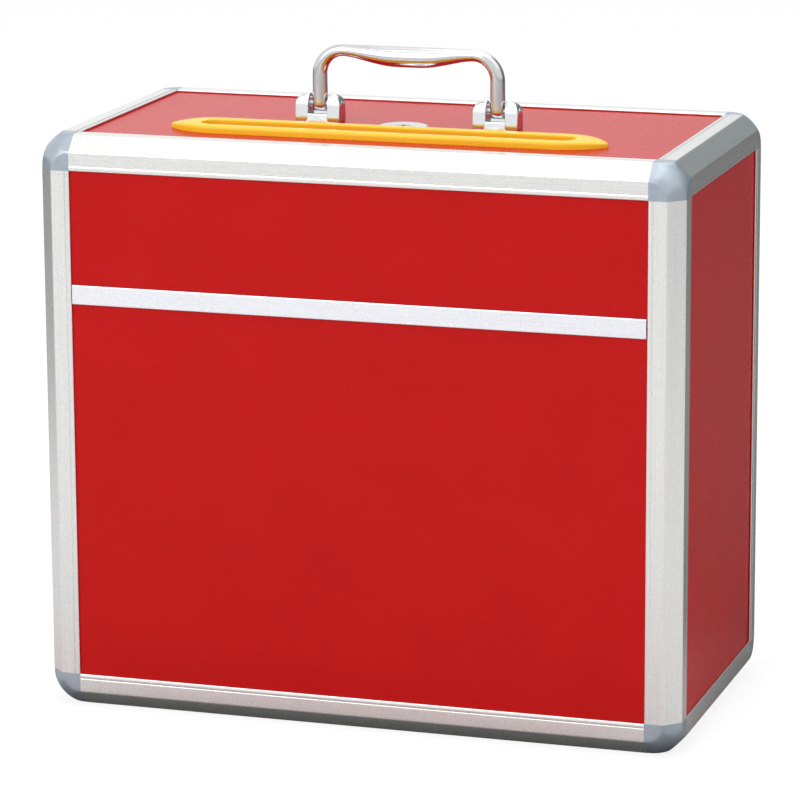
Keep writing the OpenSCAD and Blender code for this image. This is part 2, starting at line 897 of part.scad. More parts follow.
hinge_leaf(1, 1);  // hinge_leaf_door
hinge_wire();
hinge_rivets(-1);  // hinge_rivets_frame
hinge_rivets(1);  // hinge_rivets_door
at_door_lock() lock_body();  // door_lock_body
at_door_lock() lock_nut();  // door_lock_nut
at_door_lock() lock_plug();  // door_lock_plug
at_door_lock() lock_cam();  // door_lock_cam
at_door_lock() lock_screw();  // door_lock_screw
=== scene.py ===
"""A ballot box of red boards in an aluminium frame, dressed for rendering in the order it is made.

All places and sizes are in metres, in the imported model's frame.
"""

import math

import bmesh
import bpy
import numpy as np
from mathutils import Matrix


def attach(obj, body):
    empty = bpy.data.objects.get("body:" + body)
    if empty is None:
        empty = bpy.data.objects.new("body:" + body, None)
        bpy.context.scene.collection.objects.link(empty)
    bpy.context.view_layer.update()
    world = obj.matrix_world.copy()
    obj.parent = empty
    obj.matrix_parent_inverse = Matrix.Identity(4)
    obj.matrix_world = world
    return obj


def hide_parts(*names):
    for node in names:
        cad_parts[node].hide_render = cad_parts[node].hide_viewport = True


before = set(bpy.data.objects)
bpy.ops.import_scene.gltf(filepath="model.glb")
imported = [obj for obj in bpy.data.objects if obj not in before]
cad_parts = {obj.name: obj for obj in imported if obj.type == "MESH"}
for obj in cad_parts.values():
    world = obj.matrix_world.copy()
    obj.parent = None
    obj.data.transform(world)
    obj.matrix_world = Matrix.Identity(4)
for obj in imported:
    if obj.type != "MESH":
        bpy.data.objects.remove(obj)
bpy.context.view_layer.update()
mm = 0.001

# The camera stands a little to the right of the box and looks slightly down on it, from far off
# with a long lens. The angles, distance and lens come from the box's corners in the photograph.
view_turn = math.radians(17.71)
view_tilt = math.radians(13.14)
view_roll = math.radians(-0.31)
view_distance = 2.630
view_centre = np.array([-0.0044, 0.0, 0.1824])
lens_mm = 191.5

level_right = np.array([math.cos(view_turn), math.sin(view_turn), 0.0])
view_back = np.array([math.sin(view_turn) * math.cos(view_tilt),
                      -math.cos(view_turn) * math.cos(view_tilt),
                      math.sin(view_tilt)])
level_up = np.cross(view_back, level_right)
camera_right = math.cos(view_roll) * level_right + math.sin(view_roll) * level_up
camera_up = np.cross(view_back, camera_right)
camera_place = view_centre + view_back * view_distance

camera = bpy.data.objects.new("camera", bpy.data.cameras.new("camera"))
camera.data.lens = lens_mm
camera.data.sensor_width = 36.0
camera.matrix_world = Matrix([[*row, place] for row, place in
                              zip(np.stack([camera_right, camera_up, view_back], 1), camera_place)]
                             + [[0, 0, 0, 1]])
bpy.context.scene.collection.objects.link(camera)
bpy.context.scene.camera = camera

# The studio is a painted floor, a room and four soft square lamps. In what the metal reflects,
# the room is grey to the right and behind, and the floor is grey behind the box. Round the box's
# foot the floor's paint is darkened as a painted shadow, which the box's lower parts mirror and
# which dims the light bounced up from there. To the camera both look white, and the floor keeps
# the box's shadow.
floor_half_width = 12.0
room_diffuse = 0.58
room_grey = 0.18
room_grey_way = (0.64, 0.76, 0.0)
room_grey_from, room_grey_to = 0.42, 0.98
room_grey_tone = (0.84, 0.97, 1.0, 1.0)
white = (1.0, 1.0, 1.0, 1.0)
floor_grey_way = (0.13, 1.0, 0.0)
floor_lift = 0.55
floor_grey = 0.30
foot_lift = 0.93
grey_from, grey_to = -0.05, 0.25
foot_half = (0.200, 0.104)
# The painted shadow round the foot: a dark edge out to foot_spread, and a faint ring out to
# foot_shade_spread.
foot_spread = 0.035
foot_shade, foot_shade_spread = 0.84, 0.60
lamp_aim = np.array([0, 0, 0.2])


def linear(hex_colour):
    """sRGB hex to linear, one channel at a time.

    A channel c becomes c / 12.92 up to 0.04045, and ((c + 0.055) / 1.055) ^ 2.4 above it.
    """
    channels = np.array([int(hex_colour[i:i + 2], 16) for i in (1, 3, 5)]) / 255
    low = channels / 12.92
    high = ((channels + 0.055) / 1.055) ** 2.4
    return (*np.where(channels <= 0.04045, low, high).tolist(), 1.0)


def add_node(tree, kind, inputs=None, **settings):
    """Adds one node. A socket given for an input is linked, and any other value is set on it."""
    node = tree.nodes.new(kind)
    for name, value in settings.items():
        setattr(node, name, value)
    for name, value in (inputs or {}).items():
        if isinstance(value, bpy.types.NodeSocket):
            tree.links.new(value, node.inputs[name])
        else:
            node.inputs[name].default_value = value
    return node


def new_tree(owner):
    """Empties the node tree of a material or a world and returns it."""
    owner.use_nodes = True
    owner.node_tree.nodes.clear()
    return owner.node_tree


def past_middle(tree, value, middle, half):
    """How far a coordinate lies past half a width on either side of a middle."""
    away = add_node(tree, "ShaderNodeMath", {0: value, 1: middle},
                    operation="SUBTRACT").outputs[0]
    size = add_node(tree, "ShaderNodeMath", {0: away}, operation="ABSOLUTE").outputs[0]
    return add_node(tree, "ShaderNodeMath", {0: size, 1: half}, operation="SUBTRACT").outputs[0]


room = bpy.data.worlds.new("white_room")
bpy.context.scene.world = room
tree = new_tree(room)
direction = add_node(tree, "ShaderNodeTexCoord").outputs["Generated"]
towards_grey = add_node(tree, "ShaderNodeVectorMath", {0: direction, 1: room_grey_way},
                        operation="DOT_PRODUCT").outputs["Value"]
side_grey = add_node(tree, "ShaderNodeMapRange",
                     {"Value": towards_grey, "From Min": room_grey_from,
                      "From Max": room_grey_to, "To Min": 1.0, "To Max": room_grey},
                     interpolation_type="SMOOTHSTEP").outputs["Result"]
ray = add_node(tree, "ShaderNodeLightPath").outputs
seen_sharp = add_node(tree, "ShaderNodeMath",
                      {0: ray["Is Glossy Ray"], 1: ray["Is Transmission Ray"]},
                      operation="MAXIMUM").outputs[0]
room_light = add_node(tree, "ShaderNodeMapRange",
                      {"Value": seen_sharp, "To Min": room_diffuse, "To Max": side_grey}
                      ).outputs["Result"]
strength = add_node(tree, "ShaderNodeMath", {0: room_light, 1: ray["Is Camera Ray"]},
                    operation="MAXIMUM").outputs[0]
room_tone = add_node(tree, "ShaderNodeMix",
                     {"Factor": side_grey, "A": room_grey_tone, "B": white}, data_type="RGBA")
backdrop = add_node(tree, "ShaderNodeBackground",
                    {"Color": room_tone.outputs["Result"], "Strength": strength})
add_node(tree, "ShaderNodeOutputWorld", {"Surface": backdrop.outputs[0]})

floor_mesh = bpy.data.meshes.new("floor")
floor_mesh.from_pydata([(x * floor_half_width, y * floor_half_width, 0)
                        for x, y in ((-1, -1), (1, -1), (1, 1), (-1, 1))], [], [(0, 1, 2, 3)])
floor = bpy.data.objects.new("floor", floor_mesh)
bpy.context.scene.collection.objects.link(floor)
floor_paint = bpy.data.materials.new("white_floor_paint")
tree = new_tree(floor_paint)
place = add_node(tree, "ShaderNodeTexCoord").outputs["Object"]
beyond = add_node(tree, "ShaderNodeVectorMath", {0: place, 1: floor_grey_way},
                  operation="DOT_PRODUCT").outputs["Value"]
far_pale = add_node(tree, "ShaderNodeMapRange",
                    {"Value": beyond, "From Min": grey_from, "From Max": grey_to,
                     "To Min": 1.0, "To Max": floor_grey},
                    interpolation_type="SMOOTHSTEP").outputs["Result"]
x, y, _ = add_node(tree, "ShaderNodeSeparateXYZ", {0: place}).outputs
distance = add_node(tree, "ShaderNodeMath", {0: past_middle(tree, x, 0.0, foot_half[0]),
                                             1: past_middle(tree, y, 0.0, foot_half[1])},
                    operation="MAXIMUM").outputs[0]
# Painted shadow: the floor's paint darkens right at the box's foot, and more faintly over a wider
# ring round it.
contact_painted_shadow = add_node(tree, "ShaderNodeMapRange",
                     {"Value": distance, "From Max": foot_spread, "To Min": floor_grey}
                     ).outputs["Result"]
shade = add_node(tree, "ShaderNodeMapRange",
                 {"Value": distance, "From Max": foot_shade_spread, "To Min": foot_shade}
                 ).outputs["Result"]
painted_foot_shadow = add_node(tree, "ShaderNodeMath", {0: contact_painted_shadow, 1: shade},
                     operation="MULTIPLY").outputs[0]
pale = add_node(tree, "ShaderNodeMath", {0: far_pale, 1: painted_foot_shadow},
                operation="MULTIPLY").outputs[0]
paint = add_node(tree, "ShaderNodeMix", {"Factor": pale, "A": linear("#000000"),
                                         "B": linear("#EEEEEE")}, data_type="RGBA")
matt = add_node(tree, "ShaderNodeBsdfDiffuse", {"Color": paint.outputs["Result"]}).outputs[0]
ray = add_node(tree, "ShaderNodeLightPath").outputs
lift = add_node(tree, "ShaderNodeMapRange",
                {"Value": pale, "To Min": foot_lift, "To Max": floor_lift}).outputs["Result"]
seen_lift = add_node(tree, "ShaderNodeMath", {0: ray["Is Camera Ray"], 1: lift},
                     operation="MULTIPLY").outputs[0]
glow = add_node(tree, "ShaderNodeEmission",
                {"Color": white, "Strength": seen_lift}).outputs[0]
both = add_node(tree, "ShaderNodeAddShader", {0: matt, 1: glow}).outputs[0]
add_node(tree, "ShaderNodeOutputMaterial", {"Surface": both})
floor_mesh.materials.append(floor_paint)

for lamp_name, watts, size, place in (("key_lamp", 37.5, 2.6, (-1.3, -2.2, 2.0)),
                                      ("top_lamp", 8.5, 1.4, (0.15, -0.1, 2.3)),
                                      ("side_lamp", 5.0, 1.8, (1.40, -0.20, 2.0)),
                                      ("back_lamp", 10.0, 1.6, (0.10, 1.45, 2.3))):
    lamp = bpy.data.lights.new(lamp_name, "AREA")
    lamp.energy = watts
    lamp.size = size
    lamp_object = bpy.data.objects.new(lamp_name, lamp)
    to_box = lamp_aim - np.array(place)
    lamp_object.location = place
    lamp_object.rotation_euler = (math.atan2(math.hypot(to_box[0], to_box[1]), -to_box[2]), 0,
                                  math.atan2(to_box[1], to_box[0]) - math.pi / 2)
    bpy.context.scene.collection.objects.link(lamp_object)
bpy.context.scene.view_settings.view_transform = "Standard"

# The boards are 4 mm hardboard faced on both sides with a red melamine sheet, sawn to size with
# clipped corners and slid into the grooves of the rails. The back one has the door's opening.
pebble_pitch = 0.9 * mm
cloud_size = 45 * mm
pattern_low, pattern_high = 0.3, 0.7


def new_material(name, **constants):
    """A material with a Principled shader whose constants are set on its own sockets."""
    material = bpy.data.materials.new(name)
    tree = new_tree(material)
    shader = add_node(tree, "ShaderNodeBsdfPrincipled",
                      {key.replace("_", " "): value for key, value in constants.items()})
    add_node(tree, "ShaderNodeOutputMaterial", {"Surface": shader.outputs[0]})
    return material, tree, shader


def object_noise(tree, size, stretch=(1, 1, 1), detail=2.0, rough=0.5):
    """Noise over Object coordinates with features of that size in metres, longer by stretch."""
    place = add_node(tree, "ShaderNodeTexCoord").outputs["Object"]
    scaled = add_node(tree, "ShaderNodeMapping",
                      {"Vector": place, "Scale": [1 / (size * s) for s in stretch]})
    return add_node(tree, "ShaderNodeTexNoise",
                    {"Vector": scaled.outputs[0], "Scale": 1.0, "Detail": detail,
                     "Roughness": rough}).outputs["Fac"]


def varied(tree, pattern, first, second):
    """A number or a hex colour that runs from first to second over a pattern's middle range."""
    coloured = isinstance(first, str)
    low, high = (0.0, 1.0) if coloured else (first, second)
    share = add_node(tree, "ShaderNodeMapRange",
                     {"Value": pattern, "From Min": pattern_low, "From Max": pattern_high,
                      "To Min": low, "To Max": high}).outputs["Result"]
    if not coloured:
        return share
    return add_node(tree, "ShaderNodeMix",
                    {"Factor": share, "A": linear(first), "B": linear(second)},
                    data_type="RGBA").outputs["Result"]


def relief(tree, shader, height, depth, strength):
    """Raises the surface by depth times a pattern, as strongly as is asked."""
    bump = add_node(tree, "ShaderNodeBump",
                    {"Height": height, "Distance": depth, "Strength": strength})
    tree.links.new(bump.outputs[0], shader.inputs["Normal"])


def finish_node(names, material):
    """Gives the material to every slot of each named CAD node."""
    for name in names:
        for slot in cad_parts[name].material_slots:
            slot.material = material


# Red melamine facing, pressed against a lightly pebbled plate: a flat, even red with a soft
# sheen. The pebble is 0.3 mm on the real sheet and is drawn at 0.9 mm, so that it shows.
melamine, tree, shader = new_material("red_melamine_board", IOR=1.28)
pebble = object_noise(tree, pebble_pitch, detail=2.0, rough=0.6)
cloud = object_noise(tree, cloud_size, detail=3.0, rough=0.6)
tree.links.new(varied(tree, cloud, "#C30303", "#C90606"), shader.inputs["Base Color"])
tree.links.new(varied(tree, pebble, 0.24, 0.34), shader.inputs["Roughness"])
relief(tree, shader, pebble, 0.02 * mm, 0.5)
finish_node(["board_top", "board_bottom", "board_left", "board_right", "board_front_upper",
             "board_front_lower", "board_back", "door_board"], melamine)

# The rails and posts are one aluminium extrusion with a 45 degree bevel, cut to length, bead
# blasted and clear anodised: a satin silver with faint lines from the die along its length.
die_line_pitch = 0.8 * mm
die_line_length = 90.0
blast_grain = 0.7 * mm
weld_distance = 0.002 * mm
rail_width = 21 * mm
case_half = np.array([0.200, 0.104, 0.178])


def anodised_aluminium(name, axis, darkest="#E6E6E4", palest="#EFEFED"):
    """Satin aluminium whose die lines run along the given axis, 0 to 2."""
    material, tree, shader = new_material(name, Metallic=1.0)
    stretch = [die_line_length if i == axis else 1.0 for i in range(3)]
    lines = object_noise(tree, die_line_pitch, stretch, detail=3.0)
    blast = object_noise(tree, blast_grain, detail=1.0)
    tree.links.new(varied(tree, lines, darkest, palest), shader.inputs["Base Color"])
    tree.links.new(varied(tree, blast, 0.26, 0.32), shader.inputs["Roughness"])
    relief(tree, shader, lines, 0.008 * mm, 0.30)
    return material


aluminium = [anodised_aluminium("anodised_aluminium_" + "xyz"[axis], axis) for axis in range(3)]


def grid_quads(rows, columns, first=0):
    """Four-sided faces of a grid of points numbered row by row from first."""
    corner = (np.arange(rows - 1)[:, None] * columns + np.arange(columns - 1)).ravel() + first
    return np.stack([corner, corner + columns, corner + columns + 1, corner + 1], 1)


def prism_faces(count):
    """Sides and ends of a prism, from one end's ring of points and then the other's."""
    sides = [[i, (i + 1) % count, count + (i + 1) % count, count + i] for i in range(count)]
    return sides + [list(range(count))[::-1], list(range(count, 2 * count))]


def new_piece(name, points, faces, material, body, replaced=(), smooth_below=32):
    """Makes a mesh piece, merges its seams, turns its faces outwards and lets it ride a body."""
    mesh = bpy.data.meshes.new(name)
    mesh.from_pydata(np.reshape(points, (-1, 3)).tolist(), [], faces)
    shell = bmesh.new()
    shell.from_mesh(mesh)
    bmesh.ops.remove_doubles(shell, verts=shell.verts, dist=weld_distance)
    bmesh.ops.recalc_face_normals(shell, faces=shell.faces)
    shell.to_mesh(mesh)
    shell.free()
    mesh.polygons.foreach_set("use_smooth", [True] * len(mesh.polygons))
    mesh.set_sharp_from_angle(angle=math.radians(smooth_below))
    mesh.materials.append(material)
    piece = bpy.data.objects.new(name, mesh)
    bpy.context.scene.collection.objects.link(piece)
    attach(piece, body)
    if replaced:
        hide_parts(*replaced)
    return piece


def filleted(corners, steps=6):
    """A closed outline whose corners (x, y, radius) are rounded with arcs.

    An arc touches both sides at radius / tan(half the angle) from the corner. A point a tenth
    of the way along each side holds the side flat.
    """
    corner, radius = np.array(corners)[:, :2], np.array(corners)[:, 2:]
    back, ahead = np.roll(corner, 1, 0) - corner, np.roll(corner, -1, 0) - corner
    back /= np.linalg.norm(back, axis=1, keepdims=True)
    ahead /= np.linalg.norm(ahead, axis=1, keepdims=True)
    half = np.arccos((back * ahead).sum(1, keepdims=True)) / 2
    start, end = corner + back * radius / np.tan(half), corner + ahead * radius / np.tan(half)
    bisector = (back + ahead) / np.linalg.norm(back + ahead, axis=1, keepdims=True)
    centre = corner + bisector * radius / np.sin(half)
    swing = np.pi - 2 * half
    arc = [centre + (np.sin((1 - t) * swing) * (start - centre)
                     + np.sin(t * swing) * (end - centre)) / np.sin(swing)
           for t in np.linspace(0, 1, steps + 1)]
    hold_back = start + 0.1 * (np.roll(end, 1, 0) - start)
    hold_ahead = end + 0.1 * (np.roll(start, -1, 0) - end)
    return np.stack([hold_back] + arc + [hold_ahead], 1).reshape(-1, 2)


# Depth into the two faces, and corner radius, in millimetres. The lip beside the board is a
# shallow bead behind the score line. The section is its own mirror image about the diagonal.
half_section = [(9.5, 0, 1.4), (17.6, 0, 0.1), (17.95, 0.35, 0.08), (18.5, 0.08, 0.3),
                (19.4, 0, 1.2), (21, 0.3, 0.5), (20.7, 1.5, 0.4), (11, 1.5, 0.2),
                (11, 5.7, 0.2), (19.5, 5.7, 0.3), (19.5, 7, 0.3), (11, 7, 0.3)]
section = filleted(half_section + [(11, 11, 0.3)]
                   + [(v, u, radius) for u, v, radius in half_section[::-1]]) * mm
side_words = [{-1: "left", 1: "right"}, {-1: "front", 1: "back"}, {-1: "bottom", 1: "top"}]

for along in range(3):
    first, second = (along + 1) % 3, (along + 2) % 3
    for first_sign in (-1, 1):
        for second_sign in (-1, 1):
            ends = np.zeros((2, len(section), 3))
            ends[..., first] = first_sign * (case_half[first] - section[:, 0])
            ends[..., second] = second_sign * (case_half[second] - section[:, 1])
            ends[..., along] = np.array([[-1], [1]]) * (case_half[along] - rail_width)
            words = {first: side_words[first][first_sign],
                     second: side_words[second][second_sign]}
            node = "_".join(["post" if along == 2 else "rail"]
                            + [words[axis] for axis in (2, 1, 0) if axis != along])
            new_piece("extruded_" + node, ends + [0, 0, case_half[2]],
                      prism_faces(len(section)), aluminium[along], "case",
                      [node])

# The joining strip across the front comes from a separate bar, whose anodising is a little
# paler and cooler. It is slid over the edges of the two front boards.
finish_node(["front_strip"], anodised_aluminium("pale_anodised_strip", 0, "#F1F2F8", "#F8F9FE"))

# Each corner cap is moulded in grey ABS and pressed onto the ends of three rails. It carries on
# the rails' faces and bevels, and a ball form rounds off the corner and leaves curved facets.
rail_bevel = 9.5 * mm
cap_wall = 7.0 * mm
cap_ball = math.hypot(rail_width, rail_width - rail_bevel)
cap_sharpness = 110
cap_steps = 40
spark_pitch = 0.5 * mm
cap_flow_size = 9 * mm


def softest(reciprocals, sharpness):
    """Distance to the nearest of several walls along a ray, with the edges between them rounded.

    It is one over the p-norm of one over each distance, where p is the sharpness.
    """
    return np.sum(np.stack(reciprocals) ** sharpness, 0) ** (-1 / sharpness)


def cap_shell():
    """The cap round its inner corner, as two skins over the outward octant and the rim between.

    A ray (1, u, v), or a turn of it, leaves the outer skin where the faces, the bevels or the
    ball end it first, with rounded edges, and the inner skin at a cube.
    """
    step = np.linspace(0, 1, cap_steps)
    u, v = np.meshgrid(step, step, indexing="ij")
    points, faces = [], []
    for turn in range(3):
        ray = np.roll(np.stack([np.ones_like(u), u, v], -1), turn, axis=-1)
        ray = ray / np.linalg.norm(ray, axis=-1, keepdims=True)
        pairs = [ray[..., i] + ray[..., (i + 1) % 3] for i in range(3)]
        outer = softest([ray[..., i] / rail_width for i in range(3)]
                        + [pair / (2 * rail_width - rail_bevel) for pair in pairs]
                        + [np.full(u.shape, 1 / cap_ball)], cap_sharpness)
        inner = (rail_width - cap_wall) / ray.max(-1)
        first = 2 * turn * cap_steps ** 2
        points += [ray * outer[..., None], ray * inner[..., None]]
        faces.append(grid_quads(cap_steps, cap_steps, first))
        faces.append(grid_quads(cap_steps, cap_steps, first + cap_steps ** 2)[:, ::-1])
        for edge in (np.arange(cap_steps), np.arange(cap_steps) * cap_steps):
            near, far = edge[:-1] + first, edge[1:] + first
            faces.append(np.stack([near, far, far + cap_steps ** 2, near + cap_steps ** 2], 1))
    return np.concatenate([p.reshape(-1, 3) for p in points]), np.concatenate(faces).tolist()


# Silver-grey ABS with aluminium flake in it, from a spark-eroded mould: cool and more than half
# metallic, with a fine even satin texture. That is 0.1 mm on the real cap, drawn at 0.5 mm.
abs_grey, tree, shader = new_material("grey_abs", IOR=1.53, Metallic=0.60)
sparked = object_noise(tree, spark_pitch, detail=2.0)
flow = object_noise(tree, cap_flow_size, detail=2.0)
tree.links.new(varied(tree, flow, "#A4AFBA", "#B0BAC4"), shader.inputs["Base Color"])
tree.links.new(varied(tree, sparked, 0.32, 0.40), shader.inputs["Roughness"])
relief(tree, shader, sparked, 0.015 * mm, 0.5)

cap_points, cap_faces = cap_shell()
for x, x_word in ((-1, "left"), (1, "right")):
    for y, y_word in ((-1, "front"), (1, "back")):
        for z, z_word in ((-1, "bottom"), (1, "top")):
            sign = np.array([x, y, z])
            centre = sign * (case_half - rail_width) + [0, 0, case_half[2]]
            node = f"cap_{z_word}_{y_word}_{x_word}"
            new_piece("moulded_" + node, centre + cap_points * sign, cap_faces, abs_grey,
                      "case", [node])

# The slot trim is moulded in glossy yellow plastic. Its lens-shaped rim lies on the top board,
# its trough guides a paper to the slot, and its throat snaps through the board. Its outlines
# and heights are in millimetres, and its points are turned to metres last.
trim_place = np.array([2, -43.5, 354.4]) * mm
lens_straight = 106.0
lens_half = 16.5
lens_nose = 32.0
lens_tip = 3.0
slope_from, slope_to = 119.0, 138.0
slope_drop = 0.42
trough_size = (235.0, 17.0)
slot_size = (226.0, 8.0)
rim_height, rim_run, rim_fall, rim_crown = 4.5, 1.9, 2.0, 0.1
lip_round = 0.9
trough_floor, trough_round = 1.0, 0.5
slot_round, slot_fall = 0.5, 0.4
throat_wall, throat_foot = 2.0, -5.3
lens_arc = (lens_nose ** 2 + lens_half ** 2) / (2 * lens_half)
tip_steps, arc_steps, flank_steps, edge_steps = 8, 22, 16, 7


def on_circle(angle):
    """Cosine and sine of a column of angles, side by side."""
    return np.concatenate([np.cos(angle), np.sin(angle)], 1)


def full_loop(quarter):
    """A closed loop from its quarter, which runs from the right tip to the middle of one side."""
    left = quarter[-2::-1] * [-1, 1]
    top = np.concatenate([quarter, left])
    return np.concatenate([top, top[-2:0:-1] * [1, -1]])


def lens_loop(inset):
    """The rim's outline drawn in: a small circle at the tip, a wide arc, then a straight flank."""
    drop = lens_arc - lens_half
    tip_x = lens_straight + math.sqrt((lens_arc - lens_tip) ** 2 - drop ** 2)
    meeting = math.atan2(drop, tip_x - lens_straight)
    at_tip = np.linspace(0, meeting, tip_steps, endpoint=False)[:, None]
    on_arc = np.linspace(meeting, math.pi / 2, arc_steps, endpoint=False)[:, None]
    flank = np.linspace(lens_straight, 0, flank_steps)[:, None]
    quarter = np.concatenate([
        [tip_x, 0] + (lens_tip - inset) * on_circle(at_tip),
        [lens_straight, -drop] + (lens_arc - inset) * on_circle(on_arc),
        np.concatenate([flank, np.full_like(flank, lens_half - inset)], 1)])
    return full_loop(quarter)


def stadium_loop(size, grown):
    """A long slot's outline let out all round: half circles joined by straight sides."""
    length, width = size[0] + 2 * grown, size[1] + 2 * grown
    angle = np.linspace(0, math.pi / 2, tip_steps + arc_steps, endpoint=False)[:, None]
    middle = (length - width) / 2
    flank = np.linspace(middle, 0, flank_steps)[:, None]
    quarter = np.concatenate([
        [middle, 0] + width / 2 * on_circle(angle),
        np.concatenate([flank, np.full_like(flank, width / 2)], 1)])
    return full_loop(quarter)


def trim_rings():
    """Loops in order over the rim, down the trough and throat and back under the rim.

    Each rounded edge is a quarter ellipse, and the rim between its edges swells by a half sine.
    """
    bend = [(1 - math.cos(a), 1 - math.sin(a)) for a in np.linspace(0, math.pi / 2, edge_steps)]
    lip = stadium_loop(trough_size, lip_round)
    throat_bore, throat_skin = stadium_loop(slot_size, 0), stadium_loop(slot_size, throat_wall)
    rings = [(lens_loop(0), 0.0)]
    rings += [(lens_loop(rim_run * a), rim_height - rim_fall * b) for a, b in bend]
    rings += [((1 - t) * lens_loop(rim_run) + t * lip,
               rim_height + rim_crown * math.sin(math.pi * t))
              for t in np.linspace(0, 1, edge_steps)[1:-1]]
    rings += [(stadium_loop(trough_size, lip_round * b), rim_height - lip_round * a)
              for a, b in bend]
    rings += [(stadium_loop(trough_size, -trough_round * a), trough_floor + trough_round * b)
              for a, b in bend]
    rings += [(stadium_loop(slot_size, slot_round * b), trough_floor - slot_fall * a)
              for a, b in bend]
    rings += [(throat_bore, throat_foot), (throat_skin, throat_foot), (throat_skin, 0.0),
              (lens_loop(0), 0.0)]
    return rings


def tip_slope(x):
    """Share of the rim's height at x: one between the tips, then less by the square of the way."""
    way = np.clip((np.abs(x) - slope_from) / (slope_to - slope_from), 0, 1)
    return 1 - slope_drop * way ** 2


# Glossy moulded ABS, coloured through: a warm yellow with a faint flow pattern and a soft
# highlight along its rounded rim. Deep in the trough the colour is a painted shade of deeper
# orange, for the light its own walls give there.
trough_painted_shade = "#E89E12"
trough_shade_low, trough_shade_high = 1.2 * mm, 4.1 * mm
trough_shade_half = (117.5 * mm, 8.6 * mm)
trough_shade_blend = 0.8 * mm
trim_flow_size = 30 * mm
orange_peel_pitch = 1.6 * mm
yellow_abs, tree, shader = new_material("yellow_abs", IOR=1.46, Subsurface_Weight=0.06,
                                        Subsurface_Radius=(1.5 * mm, 0.7 * mm, 0.1 * mm))
flow = object_noise(tree, trim_flow_size, (3, 1, 1), detail=2.0)
orange_peel = object_noise(tree, orange_peel_pitch, detail=1.0)
place = add_node(tree, "ShaderNodeTexCoord").outputs["Object"]
x, y, z = add_node(tree, "ShaderNodeSeparateXYZ", {0: place}).outputs
# Painted shade: inside the trough's outline and below the rim's top, the yellow gives way to a
# deeper orange.
rim = add_node(tree, "ShaderNodeMapRange",
               {"Value": z, "From Min": float(trim_place[2]) + trough_shade_low,
                "From Max": float(trim_place[2]) + trough_shade_high}).outputs["Result"]
for value, middle, half in zip((x, y), trim_place.tolist(), trough_shade_half):
    beside = add_node(tree, "ShaderNodeMapRange",
                      {"Value": past_middle(tree, value, middle, half),
                       "From Max": trough_shade_blend}).outputs["Result"]
    rim = add_node(tree, "ShaderNodeMath", {0: rim, 1: beside}, operation="MAXIMUM").outputs[0]
yellow = add_node(tree, "ShaderNodeMix",
                  {"Factor": rim, "A": linear(trough_painted_shade),
                   "B": varied(tree, flow, "#FFCC1C", "#FFD62A")}, data_type="RGBA")
tree.links.new(yellow.outputs["Result"], shader.inputs["Base Color"])
tree.links.new(varied(tree, orange_peel, 0.28, 0.36), shader.inputs["Roughness"])
relief(tree, shader, orange_peel, 0.002 * mm, 0.4)

rings = trim_rings()
trim_points = np.stack([np.column_stack([loop, height * tip_slope(loop[:, 0])])
                        for loop, height in rings]) * mm
ring_count, loop_count = trim_points.shape[:2]
trim_points = np.concatenate([trim_points, trim_points[:, :1]], 1)
new_piece("moulded_slot_trim", trim_place + trim_points,
          grid_quads(ring_count, loop_count + 1).tolist(), yellow_abs, "case",
          ["slot_trim"], 40)

# The handle is die-cast zinc, polished and chrome plated. One bar runs up from each pivot eye,
# through a bend, and swells into a grip with a rounded belly for the fingers.
fittings_x = 2 * mm
pivot_z = 365.4 * mm
bar_z = 398.9 * mm
leg_x = 56.5 * mm
bend_radius = 15 * mm
leg_width = 9.5 * mm
leg_top = 9.0 * mm
bar_thickness = 7.2 * mm
bar_deeper = 0.6 * mm
grip_drop = 9.0 * mm
grip_width = 14 * mm
grip_length = 12 * mm
grip_lead = 0.85
eye_radius = 4.5 * mm
handle_sides = 48
buffed_size = 14 * mm
handled_size = 5 * mm


def ease(t):
    """A smooth step: half of one minus the cosine of a half turn times t."""
    return (1 - np.cos(np.pi * t)) / 2


def handle_stations():
    """The bar from the eye to the middle of the grip, row by row.

    A row is x, z, outward angle, outer reach, inner reach and half depth.
    """
    bar, deep = bar_thickness / 2, bar_thickness / 2 + bar_deeper
    foot, top = leg_width / 2, leg_top / 2
    bend_x, bend_z = leg_x - bend_radius, bar_z - bend_radius
    rows = [(-leg_x, pivot_z + eye_radius * math.sin(a), math.pi, foot, foot,
             eye_radius * math.cos(a)) for a in np.radians(np.linspace(-89.5, 0, 14))]
    for t in np.linspace(0, 1, 13)[1:]:
        reach = foot + (top - foot) * ease(t)
        rows.append((-leg_x, pivot_z + (bend_z - pivot_z) * t, math.pi, reach, reach,
                     eye_radius + (deep - eye_radius) * t))
    for t in np.linspace(0, 1, 17)[1:]:
        a = math.pi * (1 - t / 2)
        reach = top + (bar - top) * ease(t)
        rows.append((-bend_x + bend_radius * math.cos(a), bend_z + bend_radius * math.sin(a),
                     a, reach, reach, deep))
    for t in np.linspace(0, 1, 29)[1:]:
        full = ease(t ** grip_lead)
        rows.append((-bend_x + (bend_x - grip_length / 2) * t, bar_z, math.pi / 2, bar,
                     bar + (grip_drop - bar) * full, deep + (grip_width / 2 - deep) * full))
    return np.array(rows)


def handle_surface():
    """A ring of points at each station, carried along the U and mirrored for its right half.

    On a ring the reach across the bar follows the cosine and the depth the sine of one angle.
    """
    half = handle_stations()
    angle = np.linspace(0, 2 * np.pi, handle_sides + 1)
    middle, swing = (half[:, 3] - half[:, 4]) / 2, (half[:, 3] + half[:, 4]) / 2
    across = middle[:, None] + swing[:, None] * np.cos(angle)
    left = np.stack([half[:, :1] + across * np.cos(half[:, 2:3]),
                     half[:, 5:6] * np.sin(angle),
                     half[:, 1:2] + across * np.sin(half[:, 2:3])], -1)
    return np.concatenate([left, left[::-1] * [-1, 1, 1]])


